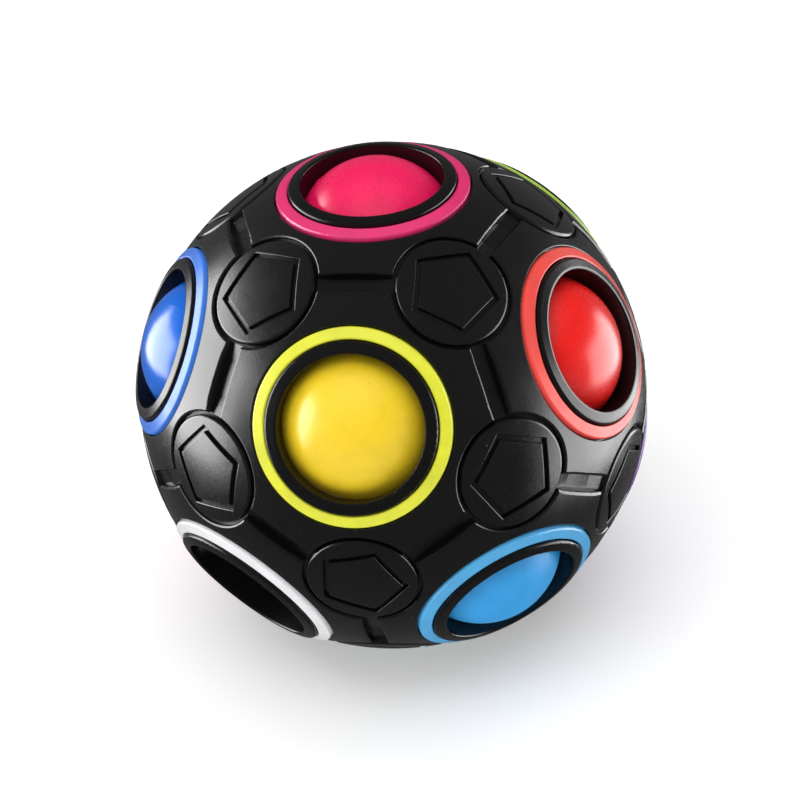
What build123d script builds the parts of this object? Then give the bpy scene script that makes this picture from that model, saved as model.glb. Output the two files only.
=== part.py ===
from build123d import *
import os
from math import acos, atan, cos, degrees, radians, sin, sqrt

# A handheld sliding-ball puzzle: a hollow black ball with twelve round windows, eleven loose
# coloured balls inside it, and a loose core ball that keeps them out at the windows. A ball
# pressed inwards rolls under the wall to the one empty window. The puzzle stands on the rim
# of its bottom window: the origin is at the middle of that rim, with +Z up, in millimetres.

# The shell, the room inside it, and the clearances of the balls
SHELL_RADIUS = 33.0
WALL = 2.6
CAVITY_RADIUS = SHELL_RADIUS - WALL
BALL_RADIUS = 10.2
RUNNING_GAP = 0.15
PRESSED_GAP = 0.35

# A window: the hole, the lip round it, with a narrow flat land on top that slopes down to its
# outer edge, and the coloured ring in its recess. Heights are measured along the window's
# axis from the centre of the shell. A rounding is the length cut off each side of a corner.
WINDOW_RADIUS = 9.0
LIP_HEIGHT = 32.25
LIP_LAND_RADIUS = 9.4
LIP_OUTER_RADIUS = 10.55
LIP_OUTER_HEIGHT = 31.9
LIP_INNER_ROUNDING = 0.25
LIP_OUTER_ROUNDING = 0.25
LIP_BLANK_RADII = (8.5, 11.4)
LIP_BLANK_HEIGHTS = (29.8, 32.5)
RING_INNER_RADIUS = 10.65
RING_OUTER_RADIUS = 12.15
RING_SEAT_HEIGHT = 29.5
RING_OUTER_HEIGHT = 31.0
RING_INNER_HEIGHT = 31.6
RING_FILLET = 0.22
RING_GROOVE = 0.2
RING_GROOVE_ROUNDING = 0.2

# A corner cap: a round button with a stem, pressed into a recess where three panels meet
CAP_RADIUS = 6.95
CAP_FILLET = 0.4
CAP_SEAT_HEIGHT = 31.45
CAP_GROOVE = 0.4
CAP_GROOVE_ROUNDING = 0.4
STEM_RADIUS = 2.5
STEM_END_HEIGHT = 30.5
STEM_GAP = 0.05
PENTAGON_RADIUS = 5.8
PENTAGON_GROOVE = 0.62
PENTAGON_DEPTH = 0.5
PENTAGON_FILLET = 0.13

# A channel between two corner caps, along the line where two panels meet. Its steep walls lean
# outwards from a flat floor, and it is shallower towards its ends: each pair below is an
# angle from its middle, about the centre of the shell, and the depth there.
CHANNEL_FLOOR_HALF_WIDTH = 0.85
CHANNEL_WALL_LEAN = 0.25
CHANNEL_ROUNDING = 0.35
CHANNEL_DEPTHS = [(4.0, 1.3), (6.3, 1.0), (8.6, 0.7)]

# How far out and in the cutting shapes reach, and how near counts as on the surface
CUT_OUTSIDE = 36.0
WINDOW_CUT_INSIDE = 26.0
CAP_CUT_INSIDE = 29.0
ON_SURFACE = 0.001

# The regular dodecahedron: windows are on its five-sided faces and caps on its corners
SIDES = 5
FIFTH = 360 / SIDES
HALF_FIFTH = FIFTH / 2
WINDOW_LATITUDE = degrees(atan(0.5))
NEAR_LATITUDE = 90 - degrees(acos(sqrt((5 + 2 * sqrt(5)) / 15)))
EQUATOR_LATITUDE = 90 - degrees(acos(sqrt((5 - 2 * sqrt(5)) / 15)))

# The windows by colour, each row in order round the vertical axis
TOP_COLOUR = "pink"
UPPER_COLOURS = ["yellow", "red", "lime", "orange", "blue"]
LOWER_COLOURS = ["sky", "purple", "green", "rose", "white"]
BOTTOM_COLOUR = "teal"
UPPER_START = -90.0
LOWER_START = UPPER_START + HALF_FIFTH
EMPTY_WINDOW = "white"
PRESSED_BALL = BOTTOM_COLOUR

# Each half of the shell: its name, its middle window, and a window beside that one
HALVES = [("right", "red", TOP_COLOUR), ("left", "rose", BOTTOM_COLOUR)]

# Where the balls lie: held out against a window's edge, or pressed in and free to roll
SEAT_DEPTH = sqrt(BALL_RADIUS**2 - WINDOW_RADIUS**2)
SEAT_DISTANCE = sqrt(CAVITY_RADIUS**2 - WINDOW_RADIUS**2) - SEAT_DEPTH - RUNNING_GAP
TRACK_DISTANCE = CAVITY_RADIUS - BALL_RADIUS - RUNNING_GAP
CORE_RADIUS = TRACK_DISTANCE - BALL_RADIUS - PRESSED_GAP
CENTRE = Pos(0, 0, LIP_HEIGHT)

# These turn each round surface's own seam line away from every other line of the model
SPHERE_TURN = Rot(37, 21, 13)
ROUND_TURN = Rot(Z=17)


def direction(latitude, longitude):
    """The unit vector at a latitude and a longitude in degrees."""
    flat = cos(radians(latitude))
    x = flat * cos(radians(longitude))
    y = flat * sin(radians(longitude))
    return Vector(x, y, sin(radians(latitude)))


def facing(axis, towards):
    """The plane through the shell's centre, square to an axis, whose X leans one way."""
    across = towards - axis * towards.dot(axis)
    return Plane(origin=(0, 0, 0), x_dir=across, z_dir=axis)


def window_planes():
    """Each window's colour and its plane: the axis of the window is the plane's normal."""
    up = Vector(0, 0, 1)
    ahead = Vector(0, -1, 0)
    planes = {TOP_COLOUR: facing(up, ahead), BOTTOM_COLOUR: facing(-up, ahead)}
    for i in range(SIDES):
        upper = direction(WINDOW_LATITUDE, UPPER_START + i * FIFTH)
        lower = direction(-WINDOW_LATITUDE, LOWER_START + i * FIFTH)
        planes[UPPER_COLOURS[i]] = facing(upper, up)
        planes[LOWER_COLOURS[i]] = facing(lower, up)
    return planes


def half_corners():
    """The corners on a half: five near its pole, five above its equator and five below it."""
    near, above, below = [], [], []
    for i in range(SIDES):
        near.append(direction(NEAR_LATITUDE, HALF_FIFTH + i * FIFTH))
        above.append(direction(EQUATOR_LATITUDE, HALF_FIFTH + i * FIFTH))
        below.append(direction(-EQUATOR_LATITUDE, i * FIFTH))
    return near, above, below


def outline(points):
    """The lines that join a row of points."""
    return [Line(start, end) for start, end in zip(points, points[1:])]


def turned(edges):
    """The solid made by turning a closed outline of (radius, height) about the axis."""
    return ROUND_TURN * revolve(Plane.XZ * make_face(Curve() + edges), axis=Axis.Z)


def surface_height(radius):
    """The height of the shell's outer surface at a distance from an axis."""
    return sqrt(SHELL_RADIUS**2 - radius**2)


def rounded_corner(start, corner, end, rounding):
    """The line up to a corner between two others, and the arc that rounds the corner off."""
    arriving = (Vector(*corner) - Vector(*start)).normalized()
    leaving = (Vector(*end) - Vector(*corner)).normalized()
    before = Vector(*corner) - arriving * rounding
    after = Vector(*corner) + leaving * rounding
    return [Line(start, before), TangentArc(before, after, tangent=arriving)]


def mouth(foot, reach, rounding):
    """A recess's side, up from its foot, its rounded edge at the surface, and a line outwards."""
    corner = (reach, surface_height(reach))
    rim = (reach + rounding, surface_height(reach + rounding))
    length = (Vector(*rim) - Vector(*corner)).length
    return rounded_corner(foot, corner, rim, length) + [Line(rim, (rim[0], CUT_OUTSIDE))]


def recess_cutter(inner_edges, radius, floor, rounding, inside):
    """A round recess with a rounded mouth, about whatever stands or is cut in its middle."""
    corners = [(radius + rounding, CUT_OUTSIDE), (0, CUT_OUTSIDE), (0, inside)]
    return turned(inner_edges + mouth((radius, floor), radius, rounding) + outline(corners))


def window_cutter():
    """All that is cut away at a window: the hole, round its lip, and the ring's recess."""
    recess = RING_OUTER_RADIUS + RING_GROOVE
    hole = (WINDOW_RADIUS, WINDOW_CUT_INSIDE)
    inner = (WINDOW_RADIUS, LIP_HEIGHT)
    land = (LIP_LAND_RADIUS, LIP_HEIGHT)
    outer = (LIP_OUTER_RADIUS, LIP_OUTER_HEIGHT)
    seat = (LIP_OUTER_RADIUS, RING_SEAT_HEIGHT)
    edges = [Line((0, WINDOW_CUT_INSIDE), hole)]
    edges += rounded_corner(hole, inner, land, LIP_INNER_ROUNDING)
    edges.append(Line(edges[-1] @ 1, land))
    edges += rounded_corner(land, outer, seat, LIP_OUTER_ROUNDING)
    edges += [Line(edges[-1] @ 1, seat), Line(seat, (recess, RING_SEAT_HEIGHT))]
    return recess_cutter(edges, recess, RING_SEAT_HEIGHT, RING_GROOVE_ROUNDING, WINDOW_CUT_INSIDE)


def cap_cutter():
    """All that is cut away at a corner: the cap's recess and the hole for its stem."""
    hole = STEM_RADIUS + STEM_GAP
    recess = CAP_RADIUS + CAP_GROOVE
    edges = outline([
        (0, CAP_CUT_INSIDE),
        (hole, CAP_CUT_INSIDE),
        (hole, CAP_SEAT_HEIGHT),
        (recess, CAP_SEAT_HEIGHT),
    ])
    return recess_cutter(edges, recess, CAP_SEAT_HEIGHT, CAP_GROOVE_ROUNDING, CAP_CUT_INSIDE)


def channel_section(depth):
    """A channel's cross-section in the XZ plane, with the surface of the shell across Z."""
    foot = (CHANNEL_FLOOR_HALF_WIDTH, SHELL_RADIUS - depth)
    right = mouth(foot, CHANNEL_FLOOR_HALF_WIDTH + CHANNEL_WALL_LEAN * depth, CHANNEL_ROUNDING)
    left = [mirror(edge, about=Plane.YZ) for edge in right]
    floor = Line(left[0] @ 0, right[0] @ 0)
    top = Line(left[-1] @ 1, right[-1] @ 1)
    return Plane.XZ * make_face(Curve() + right + left + [floor, top])


def channel_cutter():
    """A channel along Y, centred on Z, that gets shallower and narrower towards each end."""
    level_angle, deepest = CHANNEL_DEPTHS[0]
    start = Rot(X=-level_angle) * channel_section(deepest)
    cutter = revolve(start, axis=Axis.X, revolution_arc=2 * level_angle)
    for side in (1, -1):
        sections = [Rot(X=side * angle) * channel_section(depth) for angle, depth in CHANNEL_DEPTHS]
        cutter += loft(sections, ruled=True)
    return cutter


def channel_planes(near, above, below):
    """The plane of each channel on a half: those on its seam are shared with the other half."""
    pairs = []
    for i in range(SIDES):
        before = i - 1
        pairs += [(near[before], near[i]), (near[i], above[i])]
        pairs += [(above[i], below[i]), (below[i], above[before])]
    planes = []
    for one, other in pairs:
        middle = (one + other).normalized()
        planes.append(Plane(origin=(0, 0, 0), x_dir=one.cross(other), z_dir=middle))
    return planes


def half_wedge(near, above, below):
    """The space of a half's six panels, out from the centre, with a zigzag edge at the seam."""
    reach = 2 * SHELL_RADIUS
    outlines = [near]
    for i in range(SIDES):
        before = i - 1
        outlines.append([near[before], near[i], above[i], below[i], above[before]])
        outlines.append([Vector(0, 0, 0), above[i], below[i]])
        outlines.append([Vector(0, 0, 0), below[i], above[before]])
    faces = []
    for points in outlines:
        faces.append(Face(Wire.make_polygon([point * reach for point in points], close=True)))
    return Solid(Shell(faces))


def lip_blank():
    """The tube that stands out of the shell at a window, for the lip to be cut from."""
    inner, outer = LIP_BLANK_RADII
    low, high = LIP_BLANK_HEIGHTS
    tube = Cylinder(outer, high - low) - Cylinder(inner, high - low)
    return Pos(0, 0, (low + high) / 2) * tube


def shell_half():
    """One moulded half of the shell, with its own middle window on +Z."""
    near, above, below = half_corners()
    pole = Vector(0, 0, 1)
    side = Vector(1, 0, 0)
    windows = [facing(pole, side)]
    windows += [facing(direction(WINDOW_LATITUDE, i * FIFTH), pole) for i in range(SIDES)]
    corners = [facing(corner, pole) for corner in near + above + below]
    half = SPHERE_TURN * (Sphere(SHELL_RADIUS) - Sphere(CAVITY_RADIUS))
    half = half & half_wedge(near, above, below)
    for blank in [plane * lip_blank() for plane in windows]:
        half += blank
    cutters = [plane * window_cutter() for plane in windows]
    cutters += [plane * cap_cutter() for plane in corners]
    cutters += [plane * channel_cutter() for plane in channel_planes(near, above, below)]
    for cutter in cutters:
        half -= cutter
    return half


def window_ring():
    """A coloured ring, with its flat base on the seat and its top following the shell."""
    profile = Polygon(
        (RING_INNER_RADIUS, RING_SEAT_HEIGHT),
        (RING_OUTER_RADIUS, RING_SEAT_HEIGHT),
        (RING_OUTER_RADIUS, RING_OUTER_HEIGHT),
        (RING_INNER_RADIUS, RING_INNER_HEIGHT),
        align=None,
    )
    top_corners = profile.vertices().sort_by(Axis.Y)[-2:]
    return revolve(Plane.XZ * fillet(top_corners, RING_FILLET), axis=Axis.Z)


def pentagon_groove():
    """The groove of even depth that outlines a pentagon, with a corner towards +X."""
    groove_across_corners = PENTAGON_GROOVE / cos(radians(HALF_FIFTH))
    rim = RegularPolygon(PENTAGON_RADIUS, SIDES)
    plate = RegularPolygon(PENTAGON_RADIUS - groove_across_corners, SIDES)
    prism = extrude(rim - plate, amount=CUT_OUTSIDE)
    return prism - SPHERE_TURN * Sphere(SHELL_RADIUS - PENTAGON_DEPTH)


def crown_arcs(head):
    """The arcs where a cap's crown ends: the edges of its groove, then its rim, the longest."""
    arcs = head.edges().filter_by(GeomType.CIRCLE).sort_by(SortBy.LENGTH)
    return [arc for arc in arcs if abs((arc @ 0).length - SHELL_RADIUS) < ON_SURFACE]


def corner_cap():
    """A cap: a stem, a round head that follows the shell, and a pentagon outlined on it."""
    head = Pos(0, 0, CAP_SEAT_HEIGHT) * extrude(Circle(CAP_RADIUS), CUT_OUTSIDE - CAP_SEAT_HEIGHT)
    head = head & SPHERE_TURN * Sphere(SHELL_RADIUS)
    head -= pentagon_groove()
    head = fillet(crown_arcs(head)[:-1], PENTAGON_FILLET)
    head = fillet(crown_arcs(head)[-1], CAP_FILLET)
    stem = extrude(Circle(STEM_RADIUS), CAP_SEAT_HEIGHT - STEM_END_HEIGHT)
    return head + Pos(0, 0, STEM_END_HEIGHT) * stem


def cap_planes(planes):
    """Each cap's plane, half by half: X points where the pentagon's corner does."""
    near, above, _ = half_corners()
    placed = []
    for _, middle, beside in HALVES:
        pole = planes[middle].z_dir
        half = facing(pole, planes[beside].z_dir)
        placed += [facing(half.from_local_coords(corner), pole) for corner in near]
        placed += [facing(half.from_local_coords(corner), -pole) for corner in above]
    return placed


def puzzle():
    """Every piece of the puzzle by name, about the centre of the shell."""
    planes = window_planes()
    pieces = {}
    half = shell_half()
    for name, middle, beside in HALVES:
        pieces[f"shell_half_{name}"] = facing(planes[middle].z_dir, planes[beside].z_dir) * half
    ring = window_ring()
    ball = SPHERE_TURN * Sphere(BALL_RADIUS)
    for colour, plane in planes.items():
        pieces[f"window_ring_{colour}"] = plane * ring
        distance = TRACK_DISTANCE if colour == PRESSED_BALL else SEAT_DISTANCE
        if colour != EMPTY_WINDOW:
            pieces[f"ball_{colour}"] = plane * (Pos(0, 0, distance) * ball)
    cap = corner_cap()
    for number, plane in enumerate(cap_planes(planes), start=1):
        pieces[f"corner_cap_{number:02d}"] = plane * cap
    pieces["core_ball"] = SPHERE_TURN * Sphere(CORE_RADIUS)
    return pieces


def main():
    os.makedirs("parts", exist_ok=True)
    for name, piece in puzzle().items():
        export_step(CENTRE * piece, f"parts/{name}.step")


if __name__ == "__main__":
    main()
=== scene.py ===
import math

import bmesh
import bpy
from mathutils import Matrix, Vector

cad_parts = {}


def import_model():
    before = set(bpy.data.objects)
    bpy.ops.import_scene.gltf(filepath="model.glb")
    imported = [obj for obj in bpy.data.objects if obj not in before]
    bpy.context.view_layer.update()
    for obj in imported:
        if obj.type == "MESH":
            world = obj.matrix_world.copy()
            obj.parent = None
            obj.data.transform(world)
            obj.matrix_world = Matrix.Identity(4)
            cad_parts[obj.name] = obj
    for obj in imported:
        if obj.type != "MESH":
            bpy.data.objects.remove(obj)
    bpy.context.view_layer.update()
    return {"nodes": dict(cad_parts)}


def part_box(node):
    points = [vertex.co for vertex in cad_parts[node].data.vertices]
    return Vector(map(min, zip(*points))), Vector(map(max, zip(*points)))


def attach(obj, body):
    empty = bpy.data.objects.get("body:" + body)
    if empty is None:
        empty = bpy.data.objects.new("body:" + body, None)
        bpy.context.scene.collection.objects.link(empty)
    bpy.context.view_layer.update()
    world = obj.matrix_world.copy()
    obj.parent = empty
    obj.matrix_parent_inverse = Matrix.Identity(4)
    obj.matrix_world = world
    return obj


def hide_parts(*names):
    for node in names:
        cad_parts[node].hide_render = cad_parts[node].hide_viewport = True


# A sliding-ball puzzle: a glossy black ball with coloured rings round twelve windows and a
# coloured ball behind each window but one. Everything is in metres, in the frame of the part.

MM = 0.001
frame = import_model()

# The middle of the shell, and the camera's own directions at the viewing angle
LOW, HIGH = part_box("core_ball")
CENTRE = (LOW + HIGH) / 2
CAMERA_BACK = Vector((0.15835, -0.81865, 0.55210)).normalized()
CAMERA_RIGHT = Vector((0.98740, 0.13555, -0.08220)).normalized()
CAMERA_UP = CAMERA_BACK.cross(CAMERA_RIGHT)

# Where the camera is and what it aims at, off the shell's middle
CAMERA_DISTANCE = 350.0 * MM
AIM_RIGHT = 0.84 * MM
AIM_DOWN = 0.63 * MM

# The lens and the sensor, in the millimetres that a camera takes
FOCAL_LENGTH = 120.46
SENSOR_WIDTH = 36.0

SHELL_RADIUS = 33.0 * MM
BALL_RADIUS = 10.2 * MM

# Colours as (red, green, blue) from 0 to 255
RING_COLOURS = {
    "yellow": (236, 238, 60),
    "pink": (232, 48, 116),
    "red": (250, 80, 72),
    "blue": (66, 130, 236),
    "sky": (84, 180, 238),
    "white": (250, 249, 252),
    "lime": (176, 214, 84),
    "orange": (232, 118, 36),
    "purple": (128, 74, 176),
    "green": (38, 148, 84),
    "rose": (240, 168, 190),
    "teal": (44, 176, 172),
}
BALL_COLOURS = {
    "yellow": (253, 216, 44),
    "pink": (250, 24, 96),
    "red": (248, 28, 24),
    "blue": (18, 110, 226),
    "sky": (40, 166, 240),
    "lime": (168, 214, 64),
    "orange": (244, 118, 28),
    "purple": (124, 62, 178),
    "green": (24, 142, 74),
    "rose": (244, 152, 182),
    "teal": (30, 172, 168),
}

# How rough each ball is: some are polished by handling, and the rest are satin
BALL_ROUGHNESSES = {"blue": 0.18, "yellow": 0.27, "sky": 0.42}
SATIN_ROUGHNESS = 0.24


def from_camera(right, up, back):
    """A direction given along the camera's own axes, as a direction in the frame."""
    return CAMERA_RIGHT * right + CAMERA_UP * up + CAMERA_BACK * back


# ---------------------------------------------------------------- materials


def linear(colour):
    """A colour from 0 to 255 as the linear values that a shader takes."""
    values = []
    for channel in colour:
        share = channel / 255
        values.append(share / 12.92 if share <= 0.04045 else ((share + 0.055) / 1.055) ** 2.4)
    return (*values, 1.0)


class Nodes:
    """Short ways to add and join the nodes of one material."""

    def __init__(self, name):
        self.material = bpy.data.materials.new(name)
        self.material.use_nodes = True
        self.tree = self.material.node_tree
        self.shader = self.tree.nodes["Principled BSDF"]
        self.place = self.tree.nodes.new("ShaderNodeTexCoord").outputs["Object"]

    def add(self, kind, inputs=None, **settings):
        node = self.tree.nodes.new(kind)
        for key, value in settings.items():
            setattr(node, key, value)
        for key, value in (inputs or {}).items():
            self.join(value, node.inputs[key])
        return node

    def join(self, value, socket):
        if isinstance(value, bpy.types.NodeSocket):
            self.tree.links.new(value, socket)
        else:
            socket.default_value = value

    def noise(self, size, detail=2.0, place=None):
        """Smooth noise whose blobs are about a size across, in metres."""
        inputs = {"Vector": place or self.place, "Scale": 1 / size, "Detail": detail}
        return self.add("ShaderNodeTexNoise", inputs).outputs["Fac"]

    def spread(self, value, low, high, to_low=0.0, to_high=1.0):
        """Values from low to high, spread from to_low to to_high."""
        inputs = {0: value, 1: low, 2: high, 3: to_low, 4: to_high}
        return self.add("ShaderNodeMapRange", inputs).outputs[0]

    def blend(self, share, one, other):
        node = self.add("ShaderNodeMix", data_type="RGBA")
        self.join(share, node.inputs[0])
        self.join(one, node.inputs[6])
        self.join(other, node.inputs[7])
        return node.outputs[2]

    def calculate(self, operation, one, other):
        return self.add("ShaderNodeMath", {0: one, 1: other}, operation=operation).outputs[0]

    def hairlines(self, direction_turn, width, length, share):
        """Thin straight scratches: 1 on a line and 0 elsewhere."""
        inputs = {"Vector": self.place, "Rotation": direction_turn}
        inputs["Scale"] = (1 / width, 1 / width, 1 / length)
        place = self.add("ShaderNodeMapping", inputs).outputs[0]
        lines = self.add("ShaderNodeTexNoise", {"Vector": place, "Scale": 1.0, "Detail": 1.0})
        return self.spread(lines.outputs["Fac"], 1 - share, 1 - share + 0.04)

    def specks(self, spacing, radius, share):
        """Small round spots about a spacing apart, of which only a share is there: 1 on a spot."""
        cells = self.add("ShaderNodeTexVoronoi", {"Vector": self.place, "Scale": 1 / spacing})
        reach = radius / spacing
        spot = self.spread(cells.outputs["Distance"], reach, 1.5 * reach, 1.0, 0.0)
        hue = self.add("ShaderNodeSeparateColor", {"Color": cells.outputs["Color"]}).outputs["Red"]
        kept = self.calculate("LESS_THAN", hue, share)
        return self.calculate("MULTIPLY", spot, kept)

    def bump(self, height, distance, below=None):
        """Raises the surface by a height from 0 to 1, times a distance in metres."""
        inputs = {"Height": height, "Distance": distance, "Strength": 1.0}
        if below is not None:
            inputs["Normal"] = below
        return self.add("ShaderNodeBump", inputs).outputs[0]


def gloss_by_reach(n):
    """The gloss of the black plastic: duller on the lips, which stand out past the rest."""
    offset = n.add("ShaderNodeVectorMath", {0: n.place, 1: CENTRE}, operation="DISTANCE")
    reach = offset.outputs["Value"]
    return n.spread(reach, SHELL_RADIUS + 0.1 * MM, SHELL_RADIUS + 0.3 * MM, 0.5, 0.33)


def black_plastic():
    """Glossy moulded black: a fine grain, slow ripples, hairline scuffs and a few dust specks."""
    n = Nodes("black_plastic")
    grain = n.noise(0.20 * MM, 2.0)
    ripple = n.noise(3.2 * MM, 2.0)
    patches = n.noise(7.0 * MM, 3.0)
    scuffs = n.hairlines((0.5, 0.3, 0.2), 0.10 * MM, 5.0 * MM, 0.30)
    crossing = n.hairlines((1.2, -0.6, 0.9), 0.09 * MM, 3.0 * MM, 0.27)
    lines = n.calculate("MAXIMUM", scuffs, crossing)
    specks = n.specks(2.6 * MM, 0.05 * MM, 0.16)
    base = n.blend(lines, (0.0042, 0.0038, 0.0044, 1), (0.009, 0.0085, 0.009, 1))
    n.join(n.blend(specks, base, (0.22, 0.21, 0.2, 1)), n.shader.inputs["Base Color"])
    rough = n.spread(patches, 0.3, 0.7, 0.23, 0.30)
    rough = n.calculate("ADD", rough, n.calculate("MULTIPLY", lines, 0.09))
    n.join(rough, n.shader.inputs["Roughness"])
    relief = n.bump(ripple, 0.010 * MM)
    relief = n.bump(grain, 0.012 * MM, relief)
    relief = n.bump(lines, -0.0015 * MM, relief)
    n.join(relief, n.shader.inputs["Normal"])
    n.join(gloss_by_reach(n), n.shader.inputs["Specular IOR Level"])
    n.shader.inputs["IOR"].default_value = 1.5
    return n.material


def ring_plastic(colour):
    """A coloured ring: evenly dyed plastic with a fine satin grain."""
    n = Nodes(f"ring_{colour}")
    tone = linear(RING_COLOURS[colour])
    deep = tuple(0.86 * c for c in tone[:3]) + (1,)
    cloud = n.noise(3.0 * MM, 3.0)
    n.join(n.blend(n.spread(cloud, 0.35, 0.75), tone, deep), n.shader.inputs["Base Color"])
    n.join(n.spread(cloud, 0.3, 0.7, 0.28, 0.38), n.shader.inputs["Roughness"])
    n.join(n.bump(n.noise(0.2 * MM, 2.0), 0.004 * MM), n.shader.inputs["Normal"])
    return n.material


def ball_plastic(colour):
    """A coloured ball: satin plastic with a pebbled grain, a few pinholes and fine scuffs."""
    n = Nodes(f"ball_{colour}")
    tone = linear(BALL_COLOURS[colour])
    deep = tuple(0.85 * c for c in tone[:3]) + (1,)
    cloud = n.noise(2.6 * MM, 3.0)
    pebbles = n.noise(0.24 * MM, 2.0)
    pinholes = n.specks(2.4 * MM, 0.1 * MM, 0.3)
    scuffs = n.hairlines((0.9, 0.2, -0.4), 0.08 * MM, 2.5 * MM, 0.28)
    worn = n.calculate("MAXIMUM", n.spread(cloud, 0.45, 0.8, 0.0, 0.7), pinholes)
    n.join(n.blend(worn, tone, deep), n.shader.inputs["Base Color"])
    smoothest = BALL_ROUGHNESSES.get(colour, SATIN_ROUGHNESS)
    rough = n.spread(pebbles, 0.3, 0.7, smoothest, smoothest + 0.09)
    rough = n.calculate("ADD", rough, n.calculate("MULTIPLY", scuffs, 0.1))
    n.join(rough, n.shader.inputs["Roughness"])
    relief = n.bump(cloud, 0.006 * MM)
    relief = n.bump(pebbles, 0.006 * MM, relief)
    relief = n.bump(pinholes, -0.02 * MM, relief)
    n.join(relief, n.shader.inputs["Normal"])
    n.shader.inputs["Subsurface Weight"].default_value = 0.12
    n.shader.inputs["Subsurface Radius"].default_value = (1.0, 0.6, 0.4)
    n.shader.inputs["Subsurface Scale"].default_value = 0.8 * MM
    return n.material


def core_plastic():
    """The hidden core ball: plain dark grey plastic."""
    n = Nodes("core_plastic")
    cloud = n.noise(3.0 * MM, 3.0)
    tone = n.blend(cloud, (0.03, 0.03, 0.032, 1), (0.045, 0.045, 0.047, 1))
    n.join(tone, n.shader.inputs["Base Color"])
    n.join(n.spread(cloud, 0.3, 0.7, 0.38, 0.5), n.shader.inputs["Roughness"])
    n.join(n.bump(n.noise(0.3 * MM), 0.004 * MM), n.shader.inputs["Normal"])
    return n.material


def floor_material():
    """A plain white light table, with the faintest mottling."""
    n = Nodes("floor_paint")
    cloud = n.noise(60 * MM, 2.0)
    tone = n.blend(cloud, (0.88, 0.88, 0.88, 1), (0.9, 0.9, 0.9, 1))
    n.join(tone, n.shader.inputs["Base Color"])
    n.shader.inputs["Roughness"].default_value = 0.9
    n.shader.inputs["Specular IOR Level"].default_value = 0.0
    n.shader.inputs["Emission Color"].default_value = (1, 1, 1, 1)
    n.shader.inputs["Emission Strength"].default_value = FLOOR_GLOW
    return n.material


def assign(piece, material):
    piece.data.materials.clear()
    piece.data.materials.append(material)


def finished(mesh, name):
    """The mesh data of a bmesh, which is freed."""
    data = bpy.data.meshes.new(name)
    mesh.to_mesh(data)
    mesh.free()
    return data


def add_piece(data):
    """An object in the scene, named after its data."""
    piece = bpy.data.objects.new(data.name, data)
    bpy.context.scene.collection.objects.link(piece)
    return piece


# ---------------------------------------------------------------- moulded balls

BALL_SEGMENTS = 112
HALF_ROWS = 28
PARTING_HEIGHTS = {"sky": 0.035 * MM}
FAINT_PARTING_HEIGHT = 0.01 * MM
PARTING_HALF_WIDTH = 0.11 * MM
GATE_RADIUS = 0.45 * MM
GATE_HEIGHT = 0.10 * MM


def ball_angles():
    """The polar angles of a ball's rows: close together at the gate and at the parting line."""
    step = math.pi / 2 / HALF_ROWS
    gate = GATE_RADIUS / BALL_RADIUS
    half_line = PARTING_HALF_WIDTH / BALL_RADIUS
    angles = [gate * share for share in (0.45, 0.8, 1.0, 1.15, 1.6)]
    angles += [step * i for i in range(2, HALF_ROWS)]
    angles += [math.pi / 2 + half_line * share for share in (-1.6, -1, -0.55, 0, 0.55, 1, 1.6)]
    angles += [step * i for i in range(HALF_ROWS + 1, 2 * HALF_ROWS)]
    return angles


def ball_radius_at(angle, parting_height):
    """How far a ball's surface is from its centre, with its gate mark and parting line."""
    radius = BALL_RADIUS
    off_line = abs(angle - math.pi / 2) * BALL_RADIUS / PARTING_HALF_WIDTH
    if off_line < 1:
        radius += parting_height * (1 - off_line**2)
    off_gate = angle * BALL_RADIUS / GATE_RADIUS
    if off_gate < 1.1:
        radius += GATE_HEIGHT * min(1.0, (1.1 - off_gate) / 0.3)
    return radius


def row_points(angle, radius):
    """The points of one row round the Z axis, at a polar angle from it."""
    flat = radius * math.sin(angle)
    height = radius * math.cos(angle)
    turns = [2 * math.pi * i / BALL_SEGMENTS for i in range(BALL_SEGMENTS)]
    return [Vector((flat * math.cos(turn), flat * math.sin(turn), height)) for turn in turns]


def ball_mesh(name, centre, turn, parting_height):
    """A ball about a centre, turned so that its gate and its parting line lie about an axis."""
    mesh = bmesh.new()
    top = mesh.verts.new(centre + turn @ Vector((0, 0, ball_radius_at(0, parting_height))))
    bottom = mesh.verts.new(centre + turn @ Vector((0, 0, -BALL_RADIUS)))
    rows = []
    for angle in ball_angles():
        points = row_points(angle, ball_radius_at(angle, parting_height))
        rows.append([mesh.verts.new(centre + turn @ point) for point in points])
    for i in range(BALL_SEGMENTS):
        after = (i + 1) % BALL_SEGMENTS
        mesh.faces.new((top, rows[0][i], rows[0][after]))
        mesh.faces.new((bottom, rows[-1][after], rows[-1][i]))
        for upper, lower in zip(rows, rows[1:]):
            mesh.faces.new((upper[i], lower[i], lower[after], upper[after]))
    for face in mesh.faces:
        face.smooth = True
    return finished(mesh, name)


def moulded_ball(colour, axis):
    """A ball in the place of its CAD node, made in two mould halves whose axis is given."""
    node = f"ball_{colour}"
    low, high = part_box(node)
    turn = axis.to_track_quat("Z", "X").to_matrix()
    parting_height = PARTING_HEIGHTS.get(colour, FAINT_PARTING_HEIGHT)
    piece = add_piece(ball_mesh(f"moulded_{node}", (low + high) / 2, turn, parting_height))
    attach(piece, node)
    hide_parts(node)
    return piece


# The way each ball lies in its window: the axis of its mould, along the camera's axes
BALL_AXES = {
    "pink": (-0.737, 0.676, 0.0),
    "sky": (0.705, 0.697, 0.130),
    "yellow": (0.30, -0.20, -0.93),
    "red": (-0.62, 0.55, -0.56),
    "blue": (0.55, 0.80, -0.25),
}
PLAIN_BALL_AXIS = (0.48, 0.36, -0.80)


# ---------------------------------------------------------------- stage


FLOOR_HALF_WIDTH = 6.0
FLOOR_GLOW = 0.32
WORLD_STRENGTH = 0.15


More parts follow.
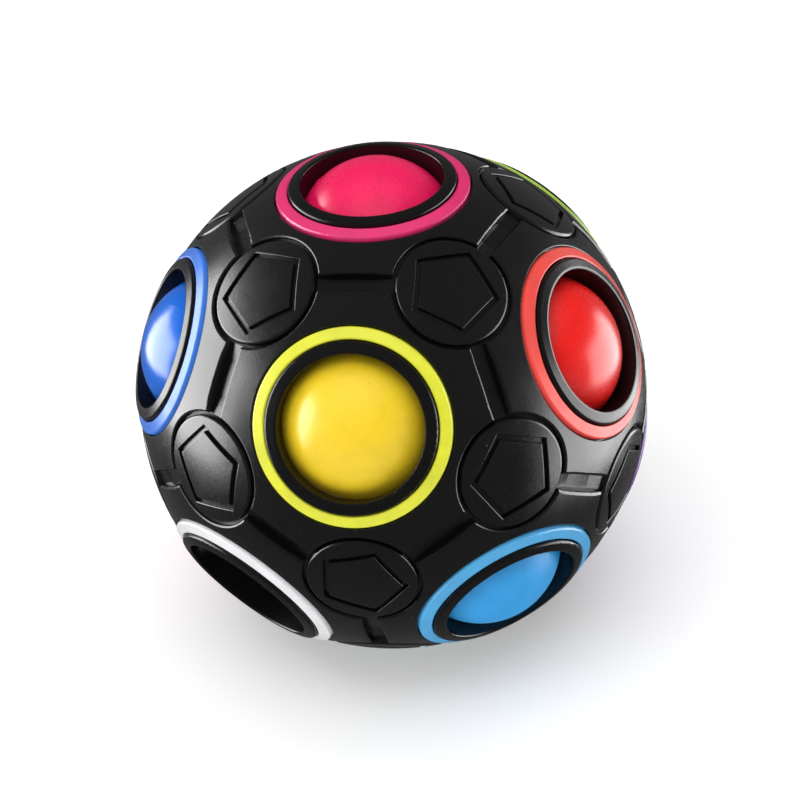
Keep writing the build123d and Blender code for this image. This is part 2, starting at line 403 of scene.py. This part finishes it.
def floor():
    mesh = bmesh.new()
    corners = [(-1, -1), (1, -1), (1, 1), (-1, 1)]
    reach = FLOOR_HALF_WIDTH
    mesh.faces.new([mesh.verts.new((x * reach, y * reach, 0)) for x, y in corners])
    piece = add_piece(finished(mesh, "floor"))
    assign(piece, floor_material())
    piece.visible_glossy = False


def soft_light(name, direction, distance, size, brightness):
    """A square soft light that faces the puzzle. Brightness 1 shows as white in a mirror."""
    light = bpy.data.lights.new(name, "AREA")
    light.shape = "RECTANGLE"
    light.size, light.size_y = size
    light.energy = brightness * math.pi * size[0] * size[1]
    lamp = add_piece(light)
    lamp.location = CENTRE + direction.normalized() * distance
    lamp.rotation_euler = direction.to_track_quat("Z", "Y").to_euler()
    lamp.visible_camera = False
    return lamp


def lights():
    """Two bright panels at the sides that the gloss mirrors, and wide fills that it doesn't."""
    panels = [
        soft_light("left_panel", from_camera(-0.98, 0.12, -0.12), 0.50, (0.50, 0.42), 10.0),
        soft_light("right_panel", from_camera(0.96, 0.03, -0.19), 0.50, (0.60, 0.42), 7.5),
    ]
    fills = [
        soft_light("top_fill", Vector((0, 0, 1)), 0.9, (1.2, 1.2), 1.6),
        soft_light("front_fill", from_camera(-0.25, 0.3, 1.0), 0.9, (0.9, 0.9), 1.2),
        soft_light("left_fill", from_camera(-1.0, -0.25, 0.35), 0.8, (0.8, 0.8), 1.3),
        soft_light("right_fill", from_camera(1.0, -0.15, 0.1), 0.8, (0.8, 0.8), 1.1),
    ]
    for lamp in panels:
        lamp.visible_diffuse = False
    for lamp in fills:
        lamp.visible_glossy = False


def world():
    made = bpy.data.worlds.new("studio")
    made.use_nodes = True
    background = made.node_tree.nodes["Background"]
    background.inputs["Color"].default_value = (1, 1, 1, 1)
    background.inputs["Strength"].default_value = WORLD_STRENGTH
    bpy.context.scene.world = made


def camera():
    data = bpy.data.cameras.new("camera")
    data.lens = FOCAL_LENGTH
    data.sensor_width = SENSOR_WIDTH
    data.clip_start = 0.01
    made = add_piece(data)
    target = CENTRE + CAMERA_RIGHT * AIM_RIGHT - CAMERA_UP * AIM_DOWN
    place = target + CAMERA_BACK * CAMERA_DISTANCE
    axes = Matrix((CAMERA_RIGHT, CAMERA_UP, CAMERA_BACK)).transposed()
    made.matrix_world = Matrix.Translation(place) @ axes.to_4x4()
    bpy.context.scene.camera = made


# ---------------------------------------------------------------- the puzzle


def dress_shell():
    black = black_plastic()
    for name, node in frame["nodes"].items():
        if name.startswith(("shell_half", "corner_cap")):
            assign(node, black)
    for colour in RING_COLOURS:
        assign(frame["nodes"][f"window_ring_{colour}"], ring_plastic(colour))
    assign(frame["nodes"]["core_ball"], core_plastic())


def fill_windows():
    for colour in BALL_COLOURS:
        axis = from_camera(*BALL_AXES.get(colour, PLAIN_BALL_AXIS))
        assign(moulded_ball(colour, axis), ball_plastic(colour))


dress_shell()
fill_windows()
floor()
lights()
world()
camera()
bpy.context.scene.view_settings.view_transform = "Standard"
